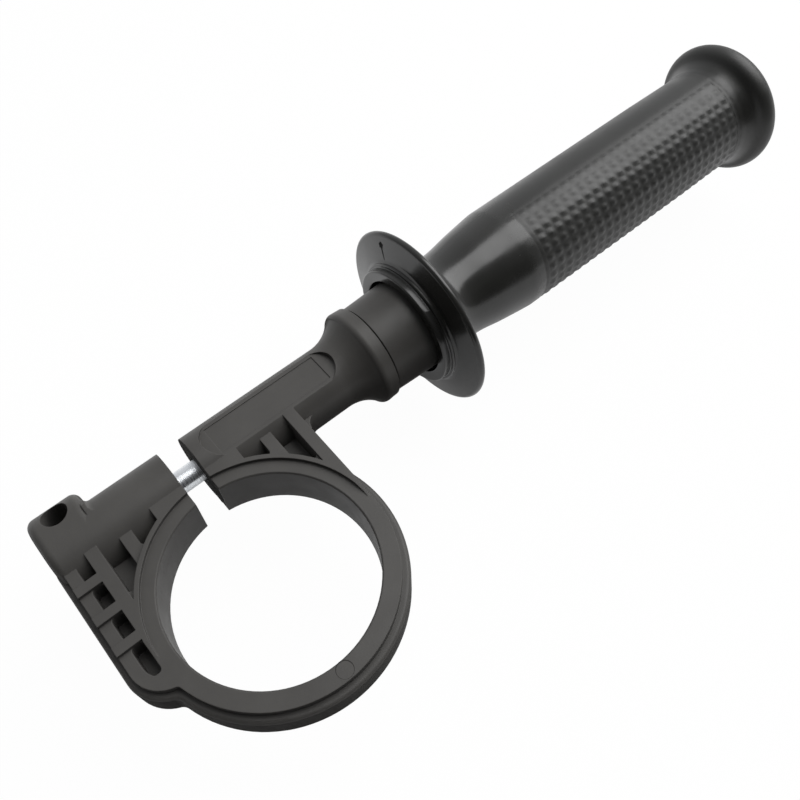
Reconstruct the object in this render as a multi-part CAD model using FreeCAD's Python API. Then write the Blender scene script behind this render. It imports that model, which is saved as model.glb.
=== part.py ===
"""Side handle for a power tool: a split clamp ring moulded in one piece with its two lugs,
a long M8 bolt across the gap, and a screw-on grip with a hand guard.

Frame: the origin is the centre of the clamp bore, +Z is the bore axis, and the bolt and grip
axis runs along +X at a height of axis_y. Millimetres throughout."""
import FreeCAD, Part
import math
import os

V = FreeCAD.Vector

# Clamp ring
bore_d = 60.0
ring_wall = 7.7
ring_w = 15.4
face_wall = 5.3
bead_w = 10.0
bead_round = 1.2
gap_w = 7.6
bore_edge = 0.4

# Lugs and their open framework
lug_rise = 12.8
barrel_r = 10.8
plate_w = 18.0
web_t = 2.0
rim_inset = 4.2
rim_t = 1.4
rim_end_y = 0.6
gap_plate_t = 10.7
col_inset = 1.2
col_t = 3.9
mid_rib_back = 7.7
mid_rib_t = 3.8
left_reach = 14.3
outer_wall_t = 5.5
face_step = 2.0
cross_rib_n = 3
cross_rib_pitch = 10.0
cross_rib_w = 2.95
cross_rib_y = 6.85
foot_r = 12.0
foot_y = 1.1
foot_end = 264.0
right_bead = 1.4
lug_fillet = 3.5
pocket_round = 1.1
foot_drop = 4.0
run_out = 5.0
bead_valley = 3.0
face_valley = 1.5

# Depth rod block on the left lug, an arch as wide as the barrel
rod_d = 8.0
rod_rise = 9.2
rod_back = 8.35
block_rise = 5.0
block_len = 16.4
block_round = 2.6
block_root = 1.5

# Right lug: barrel, flare and boss
barrel_len = 48.2
flare_len = 10.7
band_r = 16.4
band_len = 5.3
boss_r = 15.4
boss_tip_r = 16.1
boss_len = 18.0
boss_chamfer = 1.0
band_start = 0.6
band_rise = 1.1
band_round = 2.0
band_drop = 0.2
groove_w = 0.7
groove_depth = 0.6
groove_slope = 0.2
flare_bend = (0.62, 0.30)
panel_half = 6.2
panel_start = 3.5
panel_len = 46.7
sunk_half = 4.85
sunk_start = 6.8
sunk_len = 39.2
sunk_depth = 0.25

# Bolt, nut and washer, all M8
shank_d = 7.1
thread_d = 7.96
head_af = 12.0
head_h = 4.0
head_play = 0.1
lug_hole_d = 8.6
bolt_reach = 21.0
thread_len = 40.0
thread_chamfer = 0.8
nut_af = 13.0
nut_h = 6.5
nut_sink = 0.5
nut_clear = 0.05
washer_d = 24.0
washer_hole_d = 8.4
washer_t = 2.0

# Grip
socket_r = 17.6
socket_depth = 6.0
hub_r = 20.8
hub_len = 2.6
lip_r = 21.9
lip_len = 0.9
lip_round = 0.5
guard_r = 31.45
guard_edge = 1.2
guard_back = 6.54
neck_r = 15.4
neck_back = 20.0
waist_back = 42.5
waist_r = 18.35
palm_r = 18.5
palm_back = 120.0
grip_hole_d = 9.0
grip_hole_len = 40.0
knob_ring_r = 19.56
knob_tube_r = 4.5
knob_back = 156.2
flare_back = 144.0
socket_chamfer = 0.5
lip_chamfer = (0.3, 0.6)
neck_curve = ((3.4, 5.6), (8.0, 1.1))
waist_swell = 0.1
palm_drop = 0.2
knob_curve = ((4.6, 0.5), (7.4, 2.0))
knob_start_angle = 40.0
hole_point = 2.0

# Derived places
bore_r = bore_d / 2
ring_r = bore_r + ring_wall
face_r = bore_r + face_wall
rim_r = bore_r + rim_inset
rim_out_r = rim_r + rim_t
axis_y = bore_r + lug_rise
gap_x = gap_w / 2
wall_x = bore_r + left_reach
end_x = -wall_x + 0.4
col_x = bore_r + col_inset
col_out_x = col_x + col_t
rib_out_x = col_out_x - 0.2
right_wall_x = rib_out_x + right_bead
rib_x = col_x - mid_rib_back
plate_x = gap_x + gap_plate_t
flare_x = gap_x + barrel_len
band_x = flare_x + flare_len
boss_x = band_x + band_len
boss_end_x = boss_x + boss_len
seat_x = boss_end_x + washer_t
hub_x = seat_x - socket_depth
head_x = end_x + head_h
thick = 60.0


def slab(face, width):
    """A flat outline pulled out to both sides of z = 0."""
    solid = face.extrude(V(0, 0, width))
    solid.translate(V(0, 0, -width / 2))
    return solid


def rect(x0, x1, y0, y1, width):
    """A block between two x and two y values, centred on z = 0."""
    return Part.makeBox(x1 - x0, y1 - y0, width, V(x0, y0, -width / 2))


def disc(r, width):
    return Part.makeCylinder(r, width, V(0, 0, -width / 2))


def along_bolt(r, x0, x1):
    """A cylinder on the bolt axis."""
    return Part.makeCylinder(r, x1 - x0, V(x0, axis_y, 0), V(1, 0, 0))


def hex_on_bolt(across_flats, x0, x1):
    """A hexagonal prism on the bolt axis, with two flats square to Y."""
    corner_r = across_flats / math.sqrt(3)
    angles = [math.radians(60 * i) for i in range(7)]
    points = [V(x0, axis_y + corner_r * math.sin(a), corner_r * math.cos(a)) for a in angles]
    return Part.Face(Part.makePolygon(points)).extrude(V(x1 - x0, 0, 0))


def revolved(edges):
    """A solid of revolution about the bolt axis from edges drawn as (x, r)."""
    face = Part.Face(Part.Wire(edges))
    return face.revolve(V(0, axis_y, 0), V(1, 0, 0), 360)


def at(x, r):
    return V(x, axis_y + r, 0)


def lines(*points):
    """Straight edges through points given as (x, r)."""
    return [Part.LineSegment(at(*a), at(*b)).toShape() for a, b in zip(points, points[1:])]


def arc(a, mid, b):
    return Part.Arc(at(*a), at(*mid), at(*b)).toShape()


def foot_outline(radius, left_x):
    """The left lug below its framework: the outer wall, then a rounded foot back to the ring."""
    centre = V(-wall_x + foot_r, foot_y, 0)
    start = V(left_x, foot_y, 0)
    angle = math.radians(foot_end)
    middle = math.radians((180 + foot_end) / 2)
    end = centre + V(radius * math.cos(angle), radius * math.sin(angle), 0)
    mid = centre + V(radius * math.cos(middle), radius * math.sin(middle), 0)
    inside = V(-bore_r, 0, 0)
    top_in = V(-bore_r, axis_y, 0)
    top_out = V(left_x, axis_y, 0)
    edges = [Part.LineSegment(top_out, start).toShape(),
             Part.Arc(start, mid, end).toShape(),
             Part.LineSegment(end, inside).toShape(),
             Part.LineSegment(inside, top_in).toShape(),
             Part.LineSegment(top_in, top_out).toShape()]
    return Part.Face(Part.Wire(edges))


def flat_rect(x0, x1, y0, y1):
    points = [V(x0, y0, 0), V(x1, y0, 0), V(x1, y1, 0), V(x0, y1, 0)]
    return Part.Face(Part.makePolygon(points + points[:1]))


def flat_disc(x, y, r):
    return Part.Face(Part.Wire(Part.makeCircle(r, V(x, y, 0))))


def rounded_inside(face, radius):
    """The same flat outline with its outward corners rounded."""
    return face.makeOffset2D(-radius).makeOffset2D(radius)


def fillet_rims(solid, width, radius):
    """Round the edges in the two end planes of a slab, but not those inside the barrels."""
    edges = [e for e in solid.Edges
             if all(abs(abs(v.Z) - width / 2) < 1e-6 for v in e.Vertexes)
             and e.CenterOfMass.y < axis_y - 1e-3]
    return solid.makeFillet(radius, edges)


def outline_slab(ring, foot, left_x, right_x, width, valley):
    """The ring with its foot and lugs as one slab, the valleys beside the ring rounded."""
    body = disc(ring, width).fuse(slab(foot_outline(foot, left_x), width))
    body = body.fuse(rect(-bore_r, right_x, 0, axis_y, width)).removeSplitter()
    valleys = [e for e in body.Edges
               if abs(e.Vertexes[0].Z - e.Vertexes[-1].Z) > width / 2 and e.CenterOfMass.y < axis_y - 1
               and (e.CenterOfMass.x > bore_r or e.CenterOfMass.y < foot_y - 1)
               and abs(e.CenterOfMass.x) > bore_r]
    return body.makeFillet(valley, valleys)


def bead_layer():
    """The outermost layer: a band round the ring, the foot and both lugs at mid-thickness."""
    body = outline_slab(ring_r, foot_r, -wall_x, right_wall_x, bead_w, bead_valley)
    return fillet_rims(body, bead_w, bead_round)


def face_layer():
    """The ring's two flat faces, carried on under the framework's ribs."""
    left_x = -wall_x + face_step
    return outline_slab(face_r, foot_r - face_step, left_x, rib_out_x, ring_w, face_valley)


def plate_layer():
    """The raised plates: beside the gap, the columns, the cross ribs and the rim round the ring."""
    pieces = []
    for side in (-1, 1):
        gap_plate = sorted((side * gap_x, side * plate_x))
        column = sorted((side * col_x, side * (col_out_x - 0.1)))
        pieces.append(rect(gap_plate[0], gap_plate[1], 0, axis_y, plate_w))
        pieces.append(rect(column[0], column[1], rim_end_y, axis_y, plate_w))
    for i in range(cross_rib_n):
        y = cross_rib_y + i * cross_rib_pitch
        pieces.append(rect(-wall_x + face_step, -col_x, y, y + cross_rib_w, plate_w))
    half = rect(-col_out_x, rib_out_x, rim_end_y, axis_y, plate_w)
    pieces.append(disc(rim_out_r, plate_w).common(half))
    body = pieces[0].multiFuse(pieces[1:])
    return body.cut(disc(rim_r, thick)).cut(run_out_wedges())


def run_out_wedges():
    """Sloping cuts that let the raised rim's lower ends run out to the ring's face."""
    y0 = rim_end_y - 1
    y1 = rim_end_y + run_out
    low = ring_w / 2
    high = plate_w / 2 + (plate_w - ring_w) / 2 / run_out
    points = [V(-wall_x - 1, y0, low), V(-wall_x - 1, rim_end_y, low), V(-wall_x - 1, y1, plate_w / 2),
              V(-wall_x - 1, y1, high + 1), V(-wall_x - 1, y0, high + 1)]
    front = Part.Face(Part.makePolygon(points + points[:1])).extrude(V(2 * wall_x + 2, 0, 0))
    return front.fuse(front.mirror(V(0, 0, 0), V(0, 0, 1)))


def pocket_faces():
    """Outlines of what is taken out between the ribs."""
    faces = []
    for side in (-1, 1):
        for inner, outer in ((plate_x, rib_x - mid_rib_t / 2), (rib_x + mid_rib_t / 2, col_x)):
            x0, x1 = sorted((side * inner, side * outer))
            faces.append(flat_rect(x0, x1, 0, axis_y).cut(flat_disc(0, 0, rim_out_r)))
    x0 = -wall_x + outer_wall_t
    x1 = -col_out_x
    for i in range(cross_rib_n):
        low = cross_rib_y + i * cross_rib_pitch + cross_rib_w
        high = low + cross_rib_pitch - cross_rib_w if i < cross_rib_n - 1 else axis_y
        faces.append(flat_rect(x0, x1, low, high))
    foot = flat_disc(-wall_x + foot_r, foot_y, foot_r - outer_wall_t)
    upper = flat_rect(x0, -wall_x + foot_r, foot_y, cross_rib_y)
    faces.append(foot.fuse(upper).common(flat_rect(x0, x1, foot_y - foot_drop, cross_rib_y)))
    return faces


def pocket_cutters():
    """The pockets as solids that start at the middle web."""
    cutters = []
    for shape in pocket_faces():
        for face in shape.removeSplitter().Faces:
            rounded = rounded_inside(face, pocket_round)
            cutters += [f.extrude(V(0, 0, thick / 2)) for f in rounded.Faces]
    return cutters


def cut_pockets(body):
    for cutter in pocket_cutters():
        front = cutter.copy()
        front.translate(V(0, 0, web_t / 2))
        back = front.mirror(V(0, 0, 0), V(0, 0, 1))
        body = body.cut(front).cut(back)
    return body


def left_barrel():
    """The left lug's barrel with the depth rod's arched block on its outer end."""
    top_y = axis_y + block_rise
    arch = along_bolt(barrel_r, end_x, end_x + block_len)
    upper = arch.copy()
    upper.translate(V(0, block_rise, 0))
    sides = Part.makeBox(block_len, block_rise, 2 * barrel_r, V(end_x, axis_y, -barrel_r))
    block = arch.fuse(upper).fuse(sides).removeSplitter()
    outer = [e for e in block.Edges
             if all(abs(v.X - end_x) < 1e-6 for v in e.Vertexes)]
    block = block.makeFillet(block_round, outer)
    inner = [e for e in block.Edges
             if all(abs(v.X - end_x - block_len) < 1e-6 for v in e.Vertexes)
             and e.CenterOfMass.y > top_y]
    block = block.makeFillet(block_round, inner)
    return block.fuse(along_bolt(barrel_r, end_x + block_round, -gap_x)).fuse(block_fillet(upper))


def block_fillet(arch):
    """The hollow fillet between the block's inner end and the barrel's top."""
    x = end_x + block_len
    low = barrel_r - 0.1
    high = barrel_r + block_root
    turn = (x + block_root * (1 - math.sqrt(0.5)), high - block_root * math.sqrt(0.5))
    edges = lines((x - 1, high), (x - 1, low), (x + block_root, low), (x + block_root, barrel_r))
    edges.append(arc((x + block_root, barrel_r), turn, (x, high)))
    edges += lines((x, high), (x - 1, high))
    longer = arch.copy()
    longer.translate(V(2 * block_root, 0, 0))
    return revolved(edges).common(longer)


def right_barrel():
    """The right lug from the gap to the end of its boss, turned about the bolt axis."""
    bend = (flare_x + flare_len * flare_bend[0], barrel_r + (band_r - barrel_r) * flare_bend[1])
    flare_end = (band_x - band_start, band_r - band_rise)
    turn = (band_x - band_start + band_round * 0.3, band_r - band_rise * 0.35)
    flat = (band_x - band_start + band_round, band_r)
    groove_r = boss_r - groove_depth
    groove_x = boss_x - groove_w
    edges = lines((gap_x, 0), (gap_x, barrel_r), (flare_x, barrel_r))
    edges.append(arc((flare_x, barrel_r), bend, flare_end))
    edges.append(arc(flare_end, turn, flat))
    edges += lines(flat, (groove_x, band_r - band_drop), (groove_x + groove_slope, groove_r),
                   (boss_x - groove_slope, groove_r), (boss_x, boss_r),
                   (boss_end_x - boss_chamfer, boss_tip_r),
                   (boss_end_x, boss_tip_r - boss_chamfer), (boss_end_x, 0), (gap_x, 0))
    return revolved(edges)


def barrel_panel():
    """A flat with round ends in the front of the right barrel, level with the plates,
    and the plain rectangle sunk in it."""
    z = plate_w / 2
    x0 = gap_x + panel_start + panel_half
    x1 = gap_x + panel_start + panel_len - panel_half
    block = Part.makeBox(x1 - x0, 2 * panel_half, barrel_r, V(x0, axis_y - panel_half, z))
    for x in (x0, x1):
        block = block.fuse(Part.makeCylinder(panel_half, barrel_r, V(x, axis_y, z)))
    sunk = Part.makeBox(sunk_len, 2 * sunk_half, barrel_r,
                        V(gap_x + sunk_start, axis_y - sunk_half, z - sunk_depth))
    return block.fuse(sunk)


def lug_corner():
    """The fillet between the right lug's outer wall and the underside of the barrel."""
    x = right_wall_x
    y = axis_y - math.sqrt(barrel_r ** 2 - (bead_w / 2) ** 2)
    corner = rect(x - 1, x + lug_fillet, y - lug_fillet, axis_y, bead_w)
    hollow = Part.makeCylinder(lug_fillet, thick, V(x + lug_fillet, y - lug_fillet, -thick / 2))
    return corner.cut(hollow)


def clamp_ring():
    """The whole clamp moulding."""
    body = bead_layer().fuse(face_layer()).fuse(plate_layer())
    body = cut_pockets(body)
    body = body.multiFuse([left_barrel(), right_barrel(), lug_corner()])
    body = body.cut(disc(bore_r, thick))
    body = body.cut(rect(-gap_x, gap_x, 0, axis_y + thick, thick))
    for side in (-1, 1):
        cone = Part.makeCone(bore_r, bore_r + 2 * bore_edge, 2 * bore_edge,
                             V(0, 0, side * (ring_w / 2 - bore_edge)), V(0, 0, side))
        body = body.cut(cone)
    body = body.cut(along_bolt(lug_hole_d / 2, end_x - 1, boss_end_x + 1))
    body = body.cut(hex_on_bolt(head_af + 2 * head_play, end_x - 1, head_x))
    rod = Part.makeCylinder(rod_d / 2, thick, V(end_x + rod_back, axis_y + rod_rise, -thick / 2))
    body = body.cut(rod).cut(barrel_panel())
    return body.removeSplitter()


def bolt():
    """The M8 bolt: a small hexagon head, a rolled shank and the thread at its far end."""
    tip_x = seat_x + bolt_reach
    thread_x = tip_x - thread_len
    thread = along_bolt(thread_d / 2, thread_x, tip_x)
    rims = [e for e in thread.Edges if e.Length > thread_d]
    thread = thread.makeChamfer(thread_chamfer / 2, rims)
    head = hex_on_bolt(head_af, end_x, head_x)
    return head.fuse(along_bolt(shank_d / 2, head_x, thread_x + 1)).fuse(thread).removeSplitter()


def thrust_washer():
    """The steel washer between the boss and the grip."""
    ring = along_bolt(washer_d / 2, boss_end_x, seat_x)
    return ring.cut(along_bolt(washer_hole_d / 2, boss_end_x - 1, seat_x + 1))


def nut():
    """The M8 nut in the grip; its bore clears the bolt's thread, which a smooth rod stands in for."""
    x0 = seat_x + nut_sink
    body = hex_on_bolt(nut_af, x0, x0 + nut_h)
    return body.cut(along_bolt(thread_d / 2 + nut_clear, x0 - 1, x0 + nut_h + 1))


def grip_profile():
    """Half the grip's outline from the socket's mouth over the guard, the palm and the end."""
    hub_end = hub_x + hub_len
    lip_end = hub_end + lip_len
    rim_x = hub_x + guard_back
    rim_r_c = guard_r - guard_edge
    neck_x = hub_x + neck_back
    waist_x = hub_x + waist_back
    palm_x = hub_x + palm_back
    flare_start = hub_x + flare_back
    knob_x = hub_x + knob_back
    mouth = (hub_x + socket_chamfer, socket_r)
    edges = lines(mouth, (hub_x, socket_r + socket_chamfer), (hub_x, hub_r - lip_round),
                  (hub_x + lip_round, hub_r), (hub_end, hub_r), (hub_end, lip_r - lip_round),
                  (hub_end + lip_round, lip_r), (lip_end, lip_r),
                  (lip_end + lip_chamfer[0], lip_r + lip_chamfer[1]),
                  (rim_x - guard_edge, rim_r_c))
    edges.append(arc((rim_x - guard_edge, rim_r_c), (rim_x, guard_r), (rim_x + guard_edge, rim_r_c)))
    back = Part.BSplineCurve()
    back.interpolate([at(rim_x + guard_edge, rim_r_c)]
                     + [at(rim_x + dx, neck_r + dr) for dx, dr in neck_curve]
                     + [at(neck_x, neck_r),
                        at((neck_x + waist_x) / 2, (neck_r + waist_r) / 2 + waist_swell),
                        at(waist_x, waist_r)])
    edges.append(back.toShape())
    palm = Part.BSplineCurve()
    palm_end_r = palm_r - palm_drop
    palm.interpolate([at(waist_x, waist_r), at((waist_x + palm_x) / 2, (waist_r + palm_r) / 2),
                      at(palm_x, palm_r), at(flare_start, palm_end_r)])
    edges.append(palm.toShape())
    turn = math.radians(knob_start_angle)
    knob_start = (knob_x - knob_tube_r * math.cos(turn), knob_ring_r + knob_tube_r * math.sin(turn))
    flare = Part.BSplineCurve()
    flare.interpolate([at(flare_start, palm_end_r)]
                      + [at(flare_start + dx, palm_r + dr) for dx, dr in knob_curve]
                      + [at(*knob_start)])
    edges.append(flare.toShape())
    edges.append(arc(knob_start, (knob_x, knob_ring_r + knob_tube_r), (knob_x + knob_tube_r, knob_ring_r)))
    hole_end = seat_x + grip_hole_len
    nut_end = seat_x + nut_sink + nut_h
    edges += lines((knob_x + knob_tube_r, knob_ring_r), (knob_x + knob_tube_r, 0), (hole_end, 0),
                   (hole_end - hole_point, grip_hole_d / 2), (nut_end, grip_hole_d / 2),
                   (seat_x, grip_hole_d / 2), (seat_x, socket_r), mouth)
    return edges


def grip():
    """The screw-on grip, one moulding with its guard and its rounded end."""
    body = revolved(grip_profile())
    pocket = hex_on_bolt(nut_af, seat_x - 1, seat_x + nut_sink + nut_h)
    return body.cut(pocket).removeSplitter()


def main():
    os.makedirs("parts", exist_ok=True)
    nodes = {"clamp_ring": clamp_ring, "bolt": bolt, "thrust_washer": thrust_washer,
             "nut": nut, "grip": grip}
    for name, build in nodes.items():
        shape = build()
        solid = shape.Solids[0] if len(shape.Solids) == 1 else shape
        solid.exportStep("parts/%s.step" % name)
        print(name, len(shape.Solids), "solid,", len(shape.Faces), "faces, valid", shape.isValid(),
              "volume %.1f" % shape.Volume)


main()
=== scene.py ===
"""Looks for the power tool side handle: materials, the detailed grip, light, floor and camera.
Metres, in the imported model's frame: the origin is the clamp bore's centre, +Z is the bore axis
and +X runs along the bolt towards the grip. The sizes in this file are in millimetres, apart from
the light's and the floor's, and all angles are in degrees."""

import math

import bpy
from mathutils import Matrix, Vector


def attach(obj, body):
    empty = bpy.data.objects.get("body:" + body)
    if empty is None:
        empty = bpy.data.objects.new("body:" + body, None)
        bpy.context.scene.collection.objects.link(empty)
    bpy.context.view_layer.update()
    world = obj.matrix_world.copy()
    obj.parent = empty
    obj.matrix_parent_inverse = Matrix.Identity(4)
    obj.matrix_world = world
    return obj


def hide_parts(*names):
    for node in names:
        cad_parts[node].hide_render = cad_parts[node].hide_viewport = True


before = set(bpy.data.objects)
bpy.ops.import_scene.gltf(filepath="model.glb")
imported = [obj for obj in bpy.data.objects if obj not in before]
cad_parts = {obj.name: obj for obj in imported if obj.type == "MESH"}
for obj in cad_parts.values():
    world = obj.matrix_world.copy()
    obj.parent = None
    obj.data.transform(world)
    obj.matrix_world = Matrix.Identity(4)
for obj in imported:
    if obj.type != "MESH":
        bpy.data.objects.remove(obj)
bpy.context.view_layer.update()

MM = 0.001
AXIS_Y = 42.8
SHARP_ANGLE = 30.0

# Camera, from the fit to the photograph
CAMERA_AT = (-19.86, -85.40, 228.12)
CAMERA_TURN = (30.877426, 1.295289, -40.000724)
CAMERA_LENS = 38.93
SENSOR_WIDTH = 36.0
CLIP_START = 5.0

# Light, floor and world; places and sizes in metres
KEY_AT = (0.85, 0.02, 1.05)
KEY_TARGET = (0.1, 0.02, 0.0)
KEY_SIZE = (1.0, 1.55)
KEY_POWER = 17.0
ROOM_COLOUR = (0.97, 0.98, 1.0)
ROOM_NEAR = 0.06
ROOM_FAR = 0.75
ROOM_AWAY = (0.6, 0.8, 0.0)
FLOOR_Z = -36.0
FLOOR_REACH = 3.0
FLOOR_LIT = (0.18, 0.18, 0.18)
FLOOR_SEEN = (0.95, 0.95, 0.95)
SEEN_WHITE = 0.975
MIRRORED_WHITE = 0.25

# Marks left by the mould: heights stand proud of the surface
MARK_DEPTH = 0.08
GATE_R = 27.7
GATE_HALF_ACROSS = 1.15
GATE_HALF_ROUND = 1.7
GATE_POINTS = 14
GATE_MIDDLE_HEIGHT = 0.05
GATE_EDGE_HEIGHT = 0.015
LINE_START_R = 26.7
LINE_END_R = 22.9
LINE_HALF_START = 0.42
LINE_HALF_END = 0.16
LINE_HEIGHT = 0.02
LINE_STEPS = 10
PIN_Y = -32.55
PIN_R = 2.35
PIN_POINTS = 64
PIN_HALF_WIDTH = 0.09
PIN_HALF_SWING = 0.06
PIN_HEIGHT = 0.012
RING_FACE_Z = 7.7

# Grip pattern; a pyramid's outline gives shares of the step and of the height
PATTERN_X = 130.6
PATTERN_STEP = 3.83
PATTERN_COLUMNS = 25
PATTERN_ANGLE = 88.0
PATTERN_TURN = 11.0
PATTERN_ROWS = 11
PYRAMID = ((0.0, 0.0), (0.14, 0.0), (0.38, 1.0), (0.62, 1.0), (0.86, 0.0))
PYRAMID_RISE = 0.36
PYRAMID_SINK = 0.08
EDGE_ROWS = (0.5, 0.8, 1.0)
STRIP_STEPS = 22
PARTING_ANGLE = 56.0
CREASE_X = 129.2
END_LINE_X = 227.2
CREASE_DEPTH = 0.16
CREASE_HALF = 0.8
CREASE_HALF_BOTTOM = 0.2
CREASE_CLEAR = 0.9

# Where the plastics are duller; a panel's edge is the squared cosine from the parting line
BORE_FADE_R = (30.4, 30.8)
UPRIGHT_FADE = (0.02, 0.25)
PANEL_FADE = (0.64, 0.74)
PANEL_START_FADE = 1.0
PANEL_END_FADE = 3.0
STRIP_FADE_X = (112.0, 158.0)
STRIP_DULL = 0.9
KNOB_FADE = 8.0
KNOB_DULL = 1.1

# Grip outline; the lists hold (x, radius) points
HUB_X = 82.0
SEAT_X = 88.1
HOLE_R = 9.0
HOLE_DEPTH = 8.0
SOCKET_R = 17.6
LIP_R = 17.0
HUB_R = 20.8
HUB_ROUND = 0.5
GUARD_X = HUB_X + 6.54
GUARD_RIM_R = 30.24
GUARD_RIM_ROUND = 1.2
KNOB_X = HUB_X + 156.2
KNOB_RING_R = 19.56
KNOB_ROUND = 4.5
KNOB_JOIN_ANGLE = 40
KNOB_FACE_R = 10.0
DISH_KNOTS = [(HUB_X + 3.9, 22.6), (HUB_X + 4.7, 26.6), (GUARD_X - GUARD_RIM_ROUND, GUARD_RIM_R)]
BARREL_KNOTS = [(GUARD_X + 1.2, 30.2), (GUARD_X + 3.4, 21.0), (GUARD_X + 8.0, 16.5),
                (HUB_X + 20.0, 15.4), (HUB_X + 31.25, 16.975), (HUB_X + 41.5, 18.25),
                (HUB_X + 43.5, 18.37), (HUB_X + 81.25, 18.42), (HUB_X + 120.0, 18.5),
                (HUB_X + 144.0, 18.3)]
PALM = [(HUB_X + 42.5, 18.35), (HUB_X + 120.0, 18.5), (HUB_X + 144.0, 18.3)]
FLARE_KNOTS = [(HUB_X + 148.6, 19.0), (HUB_X + 151.4, 20.5)]


class Nodes:
    """Short calls for building a material's node tree."""

    def __init__(self, tree):
        self.tree = tree
        tree.nodes.clear()

    def add(self, kind, **values):
        """A node with its settings, and the values of its inputs."""
        node = self.tree.nodes.new(kind)
        for name, value in values.items():
            if hasattr(node, name) and name not in node.inputs:
                setattr(node, name, value)
            else:
                node.inputs[name].default_value = value
        return node

    def link(self, source, target):
        self.tree.links.new(source, target)

    def surface(self, shader, kind="ShaderNodeOutputMaterial"):
        """The tree's output, fed by a shader."""
        self.link(shader, self.add(kind).inputs["Surface"])


def new_material(name):
    """A material with its empty node tree."""
    material = bpy.data.materials.new(name)
    material.use_nodes = True
    return material, Nodes(material.node_tree)


def maths(nodes, operation, first, second, clamp=False):
    """One calculation on two values; the second may be a plain number."""
    node = nodes.add("ShaderNodeMath", operation=operation, use_clamp=clamp)
    nodes.link(first, node.inputs[0])
    if isinstance(second, float):
        node.inputs[1].default_value = second
    else:
        nodes.link(second, node.inputs[1])
    return node.outputs[0]


def noise(nodes, scale, detail=2.0, roughness=0.5, stretch=(1, 1, 1)):
    """Noise in object space; scale is in features per metre."""
    place = nodes.add("ShaderNodeTexCoord")
    mapping = nodes.add("ShaderNodeMapping")
    mapping.inputs["Scale"].default_value = stretch
    texture = nodes.add("ShaderNodeTexNoise", Scale=scale, Detail=detail, Roughness=roughness)
    nodes.link(place.outputs["Object"], mapping.inputs["Vector"])
    nodes.link(mapping.outputs["Vector"], texture.inputs["Vector"])
    return texture.outputs["Fac"]


def ramp(nodes, value, low, high, at_low, at_high):
    """Maps a value's range from low to high onto another range, and stops at its ends."""
    node = nodes.add("ShaderNodeMapRange")
    limits = {"From Min": low, "From Max": high, "To Min": at_low, "To Max": at_high}
    for name, number in limits.items():
        node.inputs[name].default_value = number
    nodes.link(value, node.inputs["Value"])
    return node.outputs["Result"]


def spread(nodes, value, low, high):
    """The middle of a noise's range, spread from low to high."""
    return ramp(nodes, value, 0.3, 0.7, low, high)


def colour_mix(nodes, value, dark, light):
    """A colour from dark at 0 to light at 1."""
    node = nodes.add("ShaderNodeMix", data_type="RGBA")
    node.inputs["A"].default_value = (*dark, 1)
    node.inputs["B"].default_value = (*light, 1)
    nodes.link(value, node.inputs["Factor"])
    return node.outputs["Result"]


def on_wall(nodes, amount):
    """The amount on the clamp's upright outer walls, 0 on its faces and in the smooth bore."""
    place = nodes.add("ShaderNodeTexCoord")
    normal = nodes.add("ShaderNodeSeparateXYZ")
    nodes.link(place.outputs["Normal"], normal.inputs[0])
    slope = maths(nodes, "MULTIPLY", normal.outputs["Z"], normal.outputs["Z"])
    upright = ramp(nodes, slope, *UPRIGHT_FADE, 1.0, 0.0)
    spot = nodes.add("ShaderNodeSeparateXYZ")
    nodes.link(place.outputs["Object"], spot.inputs[0])
    reach = maths(nodes, "ADD", maths(nodes, "MULTIPLY", spot.outputs["X"], spot.outputs["X"]),
                  maths(nodes, "MULTIPLY", spot.outputs["Y"], spot.outputs["Y"]))
    bore, wall = BORE_FADE_R
    outside = ramp(nodes, reach, (bore * MM) ** 2, (wall * MM) ** 2, 0.0, 1.0)
    return maths(nodes, "MULTIPLY", maths(nodes, "MULTIPLY", upright, outside), amount)


def in_pattern(nodes, amount):
    """The amount on the two patterned panels, a share of it on the knob and, gradually, on the
    strips between the panels, and 0 on the neck, guard and hub."""
    place = nodes.add("ShaderNodeTexCoord")
    split = nodes.add("ShaderNodeSeparateXYZ")
    nodes.link(place.outputs["Object"], split.inputs[0])
    x = split.outputs["X"]

    def along_x(start, end, at_start, at_end):
        return ramp(nodes, x, start * MM, end * MM, at_start, at_end)

    around = nodes.add("ShaderNodeCombineXYZ")
    nodes.link(maths(nodes, "SUBTRACT", split.outputs["Y"], AXIS_Y * MM), around.inputs["Y"])
    nodes.link(split.outputs["Z"], around.inputs["Z"])
    unit = nodes.add("ShaderNodeVectorMath", operation="NORMALIZE")
    nodes.link(around.outputs[0], unit.inputs[0])
    parting = nodes.add("ShaderNodeVectorMath", operation="DOT_PRODUCT")
    turn = math.radians(PARTING_ANGLE)
    parting.inputs[1].default_value = (0.0, math.cos(turn), math.sin(turn))
    nodes.link(unit.outputs["Vector"], parting.inputs[0])
    square = maths(nodes, "MULTIPLY", parting.outputs["Value"], parting.outputs["Value"])
    panel = ramp(nodes, square, *PANEL_FADE, amount, 0.0)
    start = along_x(CREASE_X - PANEL_START_FADE, CREASE_X, 0.0, 1.0)
    end = along_x(END_LINE_X, END_LINE_X + PANEL_END_FADE, 1.0, 0.0)
    strip = along_x(*STRIP_FADE_X, 0.0, STRIP_DULL * amount)
    panel = maths(nodes, "MAXIMUM", maths(nodes, "MULTIPLY", panel, start), strip)
    palm = maths(nodes, "MULTIPLY", panel, end)
    knob = along_x(END_LINE_X, END_LINE_X + KNOB_FADE, 0.0, KNOB_DULL * amount)
    return maths(nodes, "ADD", palm, knob)


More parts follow.
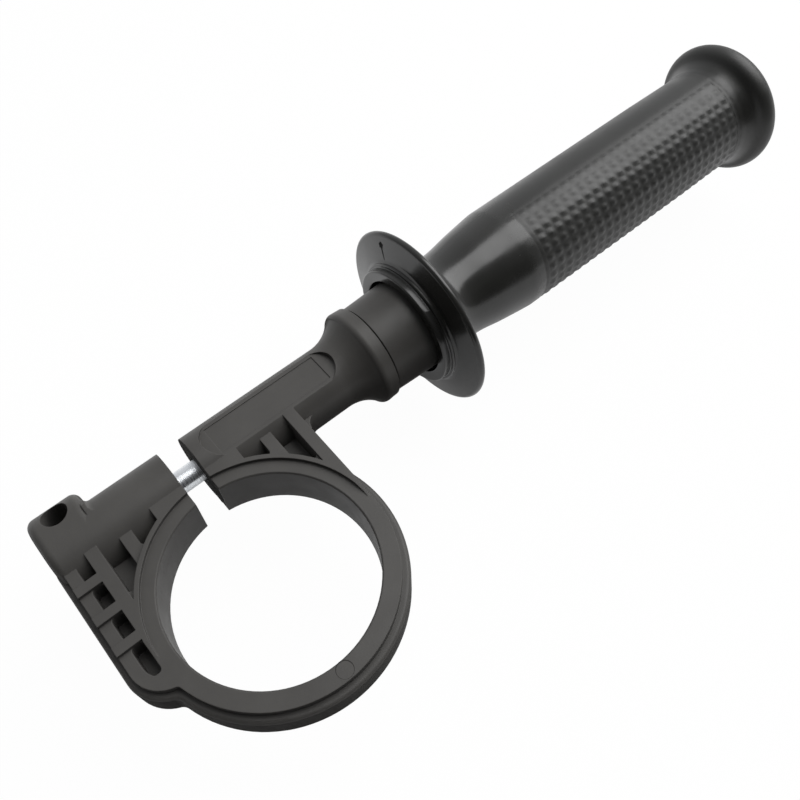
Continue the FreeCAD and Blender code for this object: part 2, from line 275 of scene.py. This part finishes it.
def plastic(name, dark, light, rough, grain, grain_depth, edge, shine, palm_duller=0.0,
            walls_coarser=0.0):
    """Moulded plastic: slightly uneven colour and gloss, a fine grain, and soft edges. The grip's
    patterned panels can be duller than the rest, and so can the clamp's upright outer walls."""
    material, nodes = new_material(name)
    shader = nodes.add("ShaderNodeBsdfPrincipled", IOR=1.5)
    shader.inputs["Specular IOR Level"].default_value = shine
    cloud = spread(nodes, noise(nodes, 60.0, 4.0, 0.6), 0.0, 1.0)
    nodes.link(colour_mix(nodes, cloud, dark, light), shader.inputs["Base Color"])
    roughness = spread(nodes, noise(nodes, 150.0, 3.0), *rough)
    if palm_duller:
        roughness = maths(nodes, "ADD", roughness, in_pattern(nodes, palm_duller))
    if walls_coarser:
        roughness = maths(nodes, "ADD", roughness, on_wall(nodes, walls_coarser))
    nodes.link(roughness, shader.inputs["Roughness"])
    bevel = nodes.add("ShaderNodeBevel", samples=6, Radius=edge * MM)
    bump = nodes.add("ShaderNodeBump", Strength=1.0, Distance=grain_depth * MM)
    nodes.link(noise(nodes, grain, 3.0, 0.6), bump.inputs["Height"])
    nodes.link(bevel.outputs["Normal"], bump.inputs["Normal"])
    nodes.link(bump.outputs["Normal"], shader.inputs["Normal"])
    nodes.surface(shader.outputs["BSDF"])
    return material


def plated_steel(name):
    """Bright zinc plate with fine marks round the bolt's axis."""
    material, nodes = new_material(name)
    shader = nodes.add("ShaderNodeBsdfPrincipled", Metallic=1.0)
    cloud = noise(nodes, 220.0, 3.0)
    nodes.link(colour_mix(nodes, cloud, (0.78, 0.81, 0.84), (0.92, 0.94, 0.96)),
               shader.inputs["Base Color"])
    turned = noise(nodes, 900.0, 2.0, 0.5, (3.0, 0.2, 0.2))
    nodes.link(spread(nodes, turned, 0.22, 0.38), shader.inputs["Roughness"])
    bump = nodes.add("ShaderNodeBump", Strength=0.4, Distance=0.02 * MM)
    nodes.link(turned, bump.inputs["Height"])
    nodes.link(bump.outputs["Normal"], shader.inputs["Normal"])
    nodes.surface(shader.outputs["BSDF"])
    return material


def smooth_through(points, steps):
    """Points along a smooth curve through the given (x, r) points, spaced by chord length."""
    result = [points[0]]
    for i in range(len(points) - 1):
        p0 = points[max(i - 1, 0)]
        p1 = points[i]
        p2 = points[i + 1]
        p3 = points[min(i + 2, len(points) - 1)]
        span = math.dist(p1, p2)
        before = max(math.dist(p0, p1), span * 0.2)
        after = max(math.dist(p2, p3), span * 0.2)
        m1 = [(p2[k] - p0[k]) / (span + before) * span for k in (0, 1)]
        m2 = [(p3[k] - p1[k]) / (span + after) * span for k in (0, 1)]
        for j in range(1, steps + 1):
            t = j / steps
            h = (2 * t**3 - 3 * t**2 + 1, t**3 - 2 * t**2 + t, 3 * t**2 - 2 * t**3, t**3 - t**2)
            result.append(tuple(h[0] * p1[k] + h[1] * m1[k] + h[2] * p2[k] + h[3] * m2[k]
                                for k in (0, 1)))
    return result


def arc_points(cx, cr, radius, start, end, steps):
    """Points (x, r) on an arc, angles in degrees from +x towards +r."""
    return [(cx + radius * math.cos(math.radians(start + (end - start) * i / steps)),
             cr + radius * math.sin(math.radians(start + (end - start) * i / steps)))
            for i in range(steps + 1)]


DISH = smooth_through(DISH_KNOTS, 8)


def palm_radius(x):
    """The palm's plain radius under the pattern."""
    (x0, r0), (x1, r1) = PALM[:2] if x <= PALM[1][0] else PALM[1:]
    return r0 + (r1 - r0) * (x - x0) / (x1 - x0)


def pattern_columns():
    """x places across the pattern with each place's height from 0 to 1."""
    places = [(PATTERN_X + i * PATTERN_STEP + part * PATTERN_STEP, height)
              for i in range(PATTERN_COLUMNS) for part, height in PYRAMID]
    return places + [(PATTERN_X + PATTERN_COLUMNS * PATTERN_STEP, 0.0)]


def pattern_angles():
    """Angles round the grip, each with its height from 0 to 1, or None on the smooth strips. The
    second panel mirrors the first one about the parting plane, and the rows nearest to the
    strips are shallower, so that the mould can open."""
    panel = []
    for i in range(PATTERN_ROWS):
        full = EDGE_ROWS[min(i, PATTERN_ROWS - 1 - i, len(EDGE_ROWS) - 1)]
        panel += [(PATTERN_ANGLE + (i + part) * PATTERN_TURN, height * full)
                  for part, height in PYRAMID]
    panel.append((PATTERN_ANGLE + PATTERN_ROWS * PATTERN_TURN, 0.0))
    mirrored = [(2 * PARTING_ANGLE - angle + 360, height) for angle, height in reversed(panel)]

    def strip(start, end):
        return [(start + (end - start) * j / STRIP_STEPS, None) for j in range(1, STRIP_STEPS)]

    return (panel + strip(panel[-1][0], mirrored[0][0]) + mirrored
            + strip(mirrored[-1][0], panel[0][0] + 360))


def crease(x):
    """A fine line pressed in across the two panels."""
    flush = PYRAMID_SINK / (PYRAMID_RISE + PYRAMID_SINK)
    low = flush - CREASE_DEPTH / (PYRAMID_RISE + PYRAMID_SINK)
    return [(x + dx, palm_radius(x + dx), height)
            for dx, height in ((-CREASE_HALF, flush), (-CREASE_HALF_BOTTOM, low),
                               (CREASE_HALF_BOTTOM, low), (CREASE_HALF, flush))]


def hub_outline():
    """The seat, the socket's wall and lip, and the hub's outside with its fine rings."""
    outline = [(SEAT_X, HOLE_R), (SEAT_X, SOCKET_R), (HUB_X + 1.6, SOCKET_R), (HUB_X + 1.2, LIP_R)]
    outline += arc_points(HUB_X + HUB_ROUND, LIP_R + HUB_ROUND, HUB_ROUND, 270, 180, 4)
    outline += [(HUB_X, HUB_R - HUB_ROUND)]
    outline += arc_points(HUB_X + HUB_ROUND, HUB_R - HUB_ROUND, HUB_ROUND, 180, 90, 5)
    outline += [(HUB_X + 2.3, HUB_R)]
    outline += arc_points(HUB_X + 2.3, 21.1, 0.3, 270, 360, 3)
    outline += arc_points(HUB_X + 3.1, 21.4, 0.5, 180, 90, 5)
    return outline + [(HUB_X + 3.5, 21.9), (HUB_X + 3.9, 22.6)]


def grip_sections():
    """Stations along the grip: (x, radius, pattern height or None)."""
    rim = arc_points(GUARD_X, GUARD_RIM_R, GUARD_RIM_ROUND, 180, 0, 12)
    barrel = smooth_through(BARREL_KNOTS, 12)
    neck = [point for point in barrel[1:] if point[0] < CREASE_X - CREASE_CLEAR]
    palm = crease(CREASE_X)
    palm += [(x, palm_radius(x), height) for x, height in pattern_columns()]
    palm += crease(END_LINE_X)
    join = math.radians(KNOB_JOIN_ANGLE)
    palm_end_x = END_LINE_X + CREASE_HALF
    flare = smooth_through([(palm_end_x, palm_radius(palm_end_x)), *FLARE_KNOTS,
                            (KNOB_X - KNOB_ROUND * math.cos(join),
                             KNOB_RING_R + KNOB_ROUND * math.sin(join))], 8)
    knob = arc_points(KNOB_X, KNOB_RING_R, KNOB_ROUND, 180 - KNOB_JOIN_ANGLE, 0, 18)
    face = [(KNOB_X + KNOB_ROUND, KNOB_FACE_R), (KNOB_X + KNOB_ROUND, 0.0)]
    return ([(x, r, None) for x, r in hub_outline() + DISH[1:] + rim[1:] + neck] + palm
            + [(x, r, None) for x, r in flare[1:] + knob[1:] + face])


def on_grip(x, radius, degrees):
    """A point in metres, from its place along, out of and round the grip's axis."""
    a = math.radians(degrees)
    return (x * MM, (AXIS_Y + radius * math.cos(a)) * MM, radius * math.sin(a) * MM)


def make_object(name, vertices, faces, material):
    """A smooth-shaded mesh object with its sharp edges kept."""
    mesh = bpy.data.meshes.new(name)
    mesh.from_pydata(vertices, [], faces)
    mesh.validate()
    mesh.materials.append(material)
    mesh.shade_smooth()
    mesh.set_sharp_from_angle(angle=math.radians(SHARP_ANGLE))
    piece = bpy.data.objects.new(name, mesh)
    bpy.context.scene.collection.objects.link(piece)
    return piece


def make_grip(material):
    """The grip: one turned skin, with two panels of small pyramids in the palm."""
    angles = pattern_angles()
    count = len(angles)
    vertices = []
    rows = []
    for x, radius, across in grip_sections():
        if radius == 0.0:
            rows.append([len(vertices)] * count)
            vertices.append(on_grip(x, 0.0, 0.0))
            continue
        row = []
        for degrees, round_height in angles:
            r = radius
            if across is not None and round_height is not None:
                r += min(across, round_height) * (PYRAMID_RISE + PYRAMID_SINK) - PYRAMID_SINK
            row.append(len(vertices))
            vertices.append(on_grip(x, r, degrees))
        rows.append(row)
    faces = []
    for low, high in zip(rows, rows[1:]):
        for j in range(count):
            k = (j + 1) % count
            corners = list(dict.fromkeys([low[j], low[k], high[k], high[j]]))
            if len(corners) > 2:
                faces.append(corners)
    hole = rows[0]
    back = len(vertices)
    vertices += [on_grip(SEAT_X + HOLE_DEPTH, HOLE_R, degrees) for degrees, _ in angles]
    centre = len(vertices)
    vertices.append(on_grip(SEAT_X + HOLE_DEPTH, 0.0, 0.0))
    for j in range(count):
        k = (j + 1) % count
        faces.append([back + j, back + k, hole[k], hole[j]])
        faces.append([centre, back + k, back + j])
    return make_object("grip_skin", vertices, faces, material)


def dish_place(radius, degrees, lift):
    """A point on the guard's front, lifted off it towards the clamp."""
    for (x0, r0), (x1, r1) in zip(DISH, DISH[1:]):
        if r0 <= radius <= r1:
            x = x0 + (x1 - x0) * (radius - r0) / (r1 - r0)
            return on_grip(x - lift, radius, degrees)
    raise ValueError(radius)


def plate(top, bottom, faces):
    """The vertices and faces of a closed plate between two matching sets of points."""
    count = len(top)
    sides = {side for face in faces for side in zip(face, face[1:] + face[:1])}
    under = [[v + count for v in reversed(face)] for face in faces]
    walls = [[b, a, a + count, b + count] for a, b in sorted(sides) if (b, a) not in sides]
    return top + bottom, faces + under + walls


def make_gate_mark(material):
    """The moulding's mark on the guard: a small scar, and the parting line down to the hub."""
    places = [(GATE_R, PARTING_ANGLE, GATE_MIDDLE_HEIGHT)]
    for i in range(GATE_POINTS):
        a = 2 * math.pi * i / GATE_POINTS
        uneven = 0.8 + 0.15 * math.sin(2 * a + 1.1) + 0.12 * math.sin(5 * a + 0.5)
        radius = GATE_R + GATE_HALF_ACROSS * uneven * math.cos(a)
        turn = math.degrees(GATE_HALF_ROUND * uneven * math.sin(a) / GATE_R)
        places.append((radius, PARTING_ANGLE + turn, GATE_EDGE_HEIGHT))
    faces = [[0, 1 + (i + 1) % GATE_POINTS, 1 + i] for i in range(GATE_POINTS)]
    first = len(places)
    for i in range(LINE_STEPS + 1):
        share = i / LINE_STEPS
        radius = LINE_START_R + (LINE_END_R - LINE_START_R) * share
        half = math.degrees((LINE_HALF_START + (LINE_HALF_END - LINE_HALF_START) * share) / radius)
        places += [(radius, PARTING_ANGLE - half, LINE_HEIGHT),
                   (radius, PARTING_ANGLE + half, LINE_HEIGHT)]
    faces += [[first + 2 * i + k for k in (0, 2, 3, 1)] for i in range(LINE_STEPS)]
    top = [dish_place(*place) for place in places]
    bottom = [dish_place(radius, degrees, -MARK_DEPTH) for radius, degrees, _ in places]
    return make_object("gate_mark", *plate(top, bottom, faces), material)


def make_pin_mark(material):
    """The faint circle that an ejector pin left on the ring's front face."""
    outline = []
    faces = []
    for i in range(PIN_POINTS):
        a = 2 * math.pi * i / PIN_POINTS
        half = PIN_HALF_WIDTH + PIN_HALF_SWING * math.sin(a + 0.4)
        outline += [(radius * math.cos(a) * MM, (PIN_Y + radius * math.sin(a)) * MM)
                    for radius in (PIN_R - half, PIN_R + half)]
        after = (i + 1) % PIN_POINTS
        faces.append([2 * i, 2 * i + 1, 2 * after + 1, 2 * after])
    top = [(x, y, (RING_FACE_Z + PIN_HEIGHT) * MM) for x, y in outline]
    bottom = [(x, y, (RING_FACE_Z - MARK_DEPTH) * MM) for x, y in outline]
    return make_object("pin_mark", *plate(top, bottom, faces), material)


def make_key_light():
    """One large soft light, above and beyond the grip's end."""
    data = bpy.data.lights.new("key", "AREA")
    data.shape = "RECTANGLE"
    data.size, data.size_y = KEY_SIZE
    data.energy = KEY_POWER
    lamp = bpy.data.objects.new("key", data)
    lamp.location = KEY_AT
    direction = Vector(KEY_TARGET) - Vector(KEY_AT)
    lamp.rotation_euler = direction.to_track_quat("-Z", "Y").to_euler()
    bpy.context.scene.collection.objects.link(lamp)


def make_world():
    """A dim room, brighter beyond the handle; the camera sees plain white."""
    world = bpy.data.worlds.new("studio")
    bpy.context.scene.world = world
    world.use_nodes = True
    nodes = Nodes(world.node_tree)
    light = nodes.add("ShaderNodeBackground", Color=(*ROOM_COLOUR, 1))
    place = nodes.add("ShaderNodeTexCoord")
    along = nodes.add("ShaderNodeVectorMath", operation="DOT_PRODUCT")
    along.inputs[1].default_value = ROOM_AWAY
    nodes.link(place.outputs["Generated"], along.inputs[0])
    nodes.link(ramp(nodes, along.outputs["Value"], -0.6, 0.9, ROOM_NEAR, ROOM_FAR),
               light.inputs["Strength"])
    white = nodes.add("ShaderNodeBackground", Color=(1, 1, 1, 1), Strength=1.0)
    path = nodes.add("ShaderNodeLightPath")
    mix = nodes.add("ShaderNodeMixShader")
    nodes.link(path.outputs["Is Camera Ray"], mix.inputs[0])
    nodes.link(light.outputs[0], mix.inputs[1])
    nodes.link(white.outputs[0], mix.inputs[2])
    nodes.surface(mix.outputs[0], "ShaderNodeOutputWorld")


def make_floor():
    """A pale floor that shows white, with a faint shadow that is stronger in reflections."""
    material, nodes = new_material("pale_floor")
    paint = nodes.add("ShaderNodeBsdfDiffuse")
    white = nodes.add("ShaderNodeEmission", Color=(1, 1, 1, 1), Strength=1.0)
    path = nodes.add("ShaderNodeLightPath")
    through = maths(nodes, "ADD", path.outputs["Is Glossy Ray"],
                    path.outputs["Is Transmission Ray"])
    seen = maths(nodes, "ADD", path.outputs["Is Camera Ray"], through, clamp=True)
    nodes.link(colour_mix(nodes, seen, FLOOR_LIT, FLOOR_SEEN), paint.inputs["Color"])
    mirrored = maths(nodes, "MULTIPLY", seen, MIRRORED_WHITE)
    direct = maths(nodes, "MULTIPLY", path.outputs["Is Camera Ray"], SEEN_WHITE - MIRRORED_WHITE)
    mix = nodes.add("ShaderNodeMixShader")
    nodes.link(maths(nodes, "ADD", direct, mirrored), mix.inputs[0])
    nodes.link(paint.outputs[0], mix.inputs[1])
    nodes.link(white.outputs[0], mix.inputs[2])
    nodes.surface(mix.outputs[0])
    corners = [(x * FLOOR_REACH, y * FLOOR_REACH, FLOOR_Z * MM)
               for x, y in ((-1, -1), (1, -1), (1, 1), (-1, 1))]
    floor = make_object("studio_floor", corners, [[0, 1, 2, 3]], material)


def make_camera():
    """The photograph's camera."""
    data = bpy.data.cameras.new("photo_camera")
    data.lens = CAMERA_LENS
    data.sensor_width = SENSOR_WIDTH
    data.clip_start = CLIP_START * MM
    camera = bpy.data.objects.new("photo_camera", data)
    camera.location = [v * MM for v in CAMERA_AT]
    camera.rotation_euler = [math.radians(v) for v in CAMERA_TURN]
    bpy.context.scene.collection.objects.link(camera)
    bpy.context.scene.camera = camera


def dress(node, material):
    """Gives a CAD node one material all over."""
    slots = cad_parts[node].data.materials
    for i in range(len(slots)):
        slots[i] = material
    if not len(slots):
        slots.append(material)


def main():
    clamp = plastic("clamp_plastic", dark=(0.063, 0.0602, 0.0566), light=(0.0765, 0.0735, 0.069),
                    rough=(0.40, 0.48), grain=1500.0, grain_depth=0.02, edge=0.35, shine=0.30,
                    walls_coarser=0.55)
    glossy = plastic("grip_plastic", dark=(0.015, 0.015, 0.0135), light=(0.020, 0.020, 0.018),
                     rough=(0.17, 0.24), grain=500.0, grain_depth=0.004, edge=0.18, shine=0.55,
                     palm_duller=0.22)
    steel = plated_steel("zinc_steel")
    dress("clamp_ring", clamp)
    for node in ("bolt", "thrust_washer", "nut"):
        dress(node, steel)
    dress("grip", glossy)

    skin = make_grip(glossy)
    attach(skin, "handle")
    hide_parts("grip")

    scar = plastic("gate_scar", dark=(0.004, 0.004, 0.0035), light=(0.008, 0.008, 0.007),
                   rough=(0.60, 0.75), grain=900.0, grain_depth=0.02, edge=0.05, shine=0.08)
    mark = make_gate_mark(scar)
    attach(mark, "handle")

    faint = plastic("pin_line", dark=(0.022, 0.021, 0.020), light=(0.034, 0.032, 0.030),
                    rough=(0.60, 0.70), grain=900.0, grain_depth=0.01, edge=0.02, shine=0.2)
    pin = make_pin_mark(faint)
    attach(pin, "clamp")

    make_world()
    make_floor()
    make_key_light()
    make_camera()
    bpy.context.scene.view_settings.view_transform = "Standard"


main()
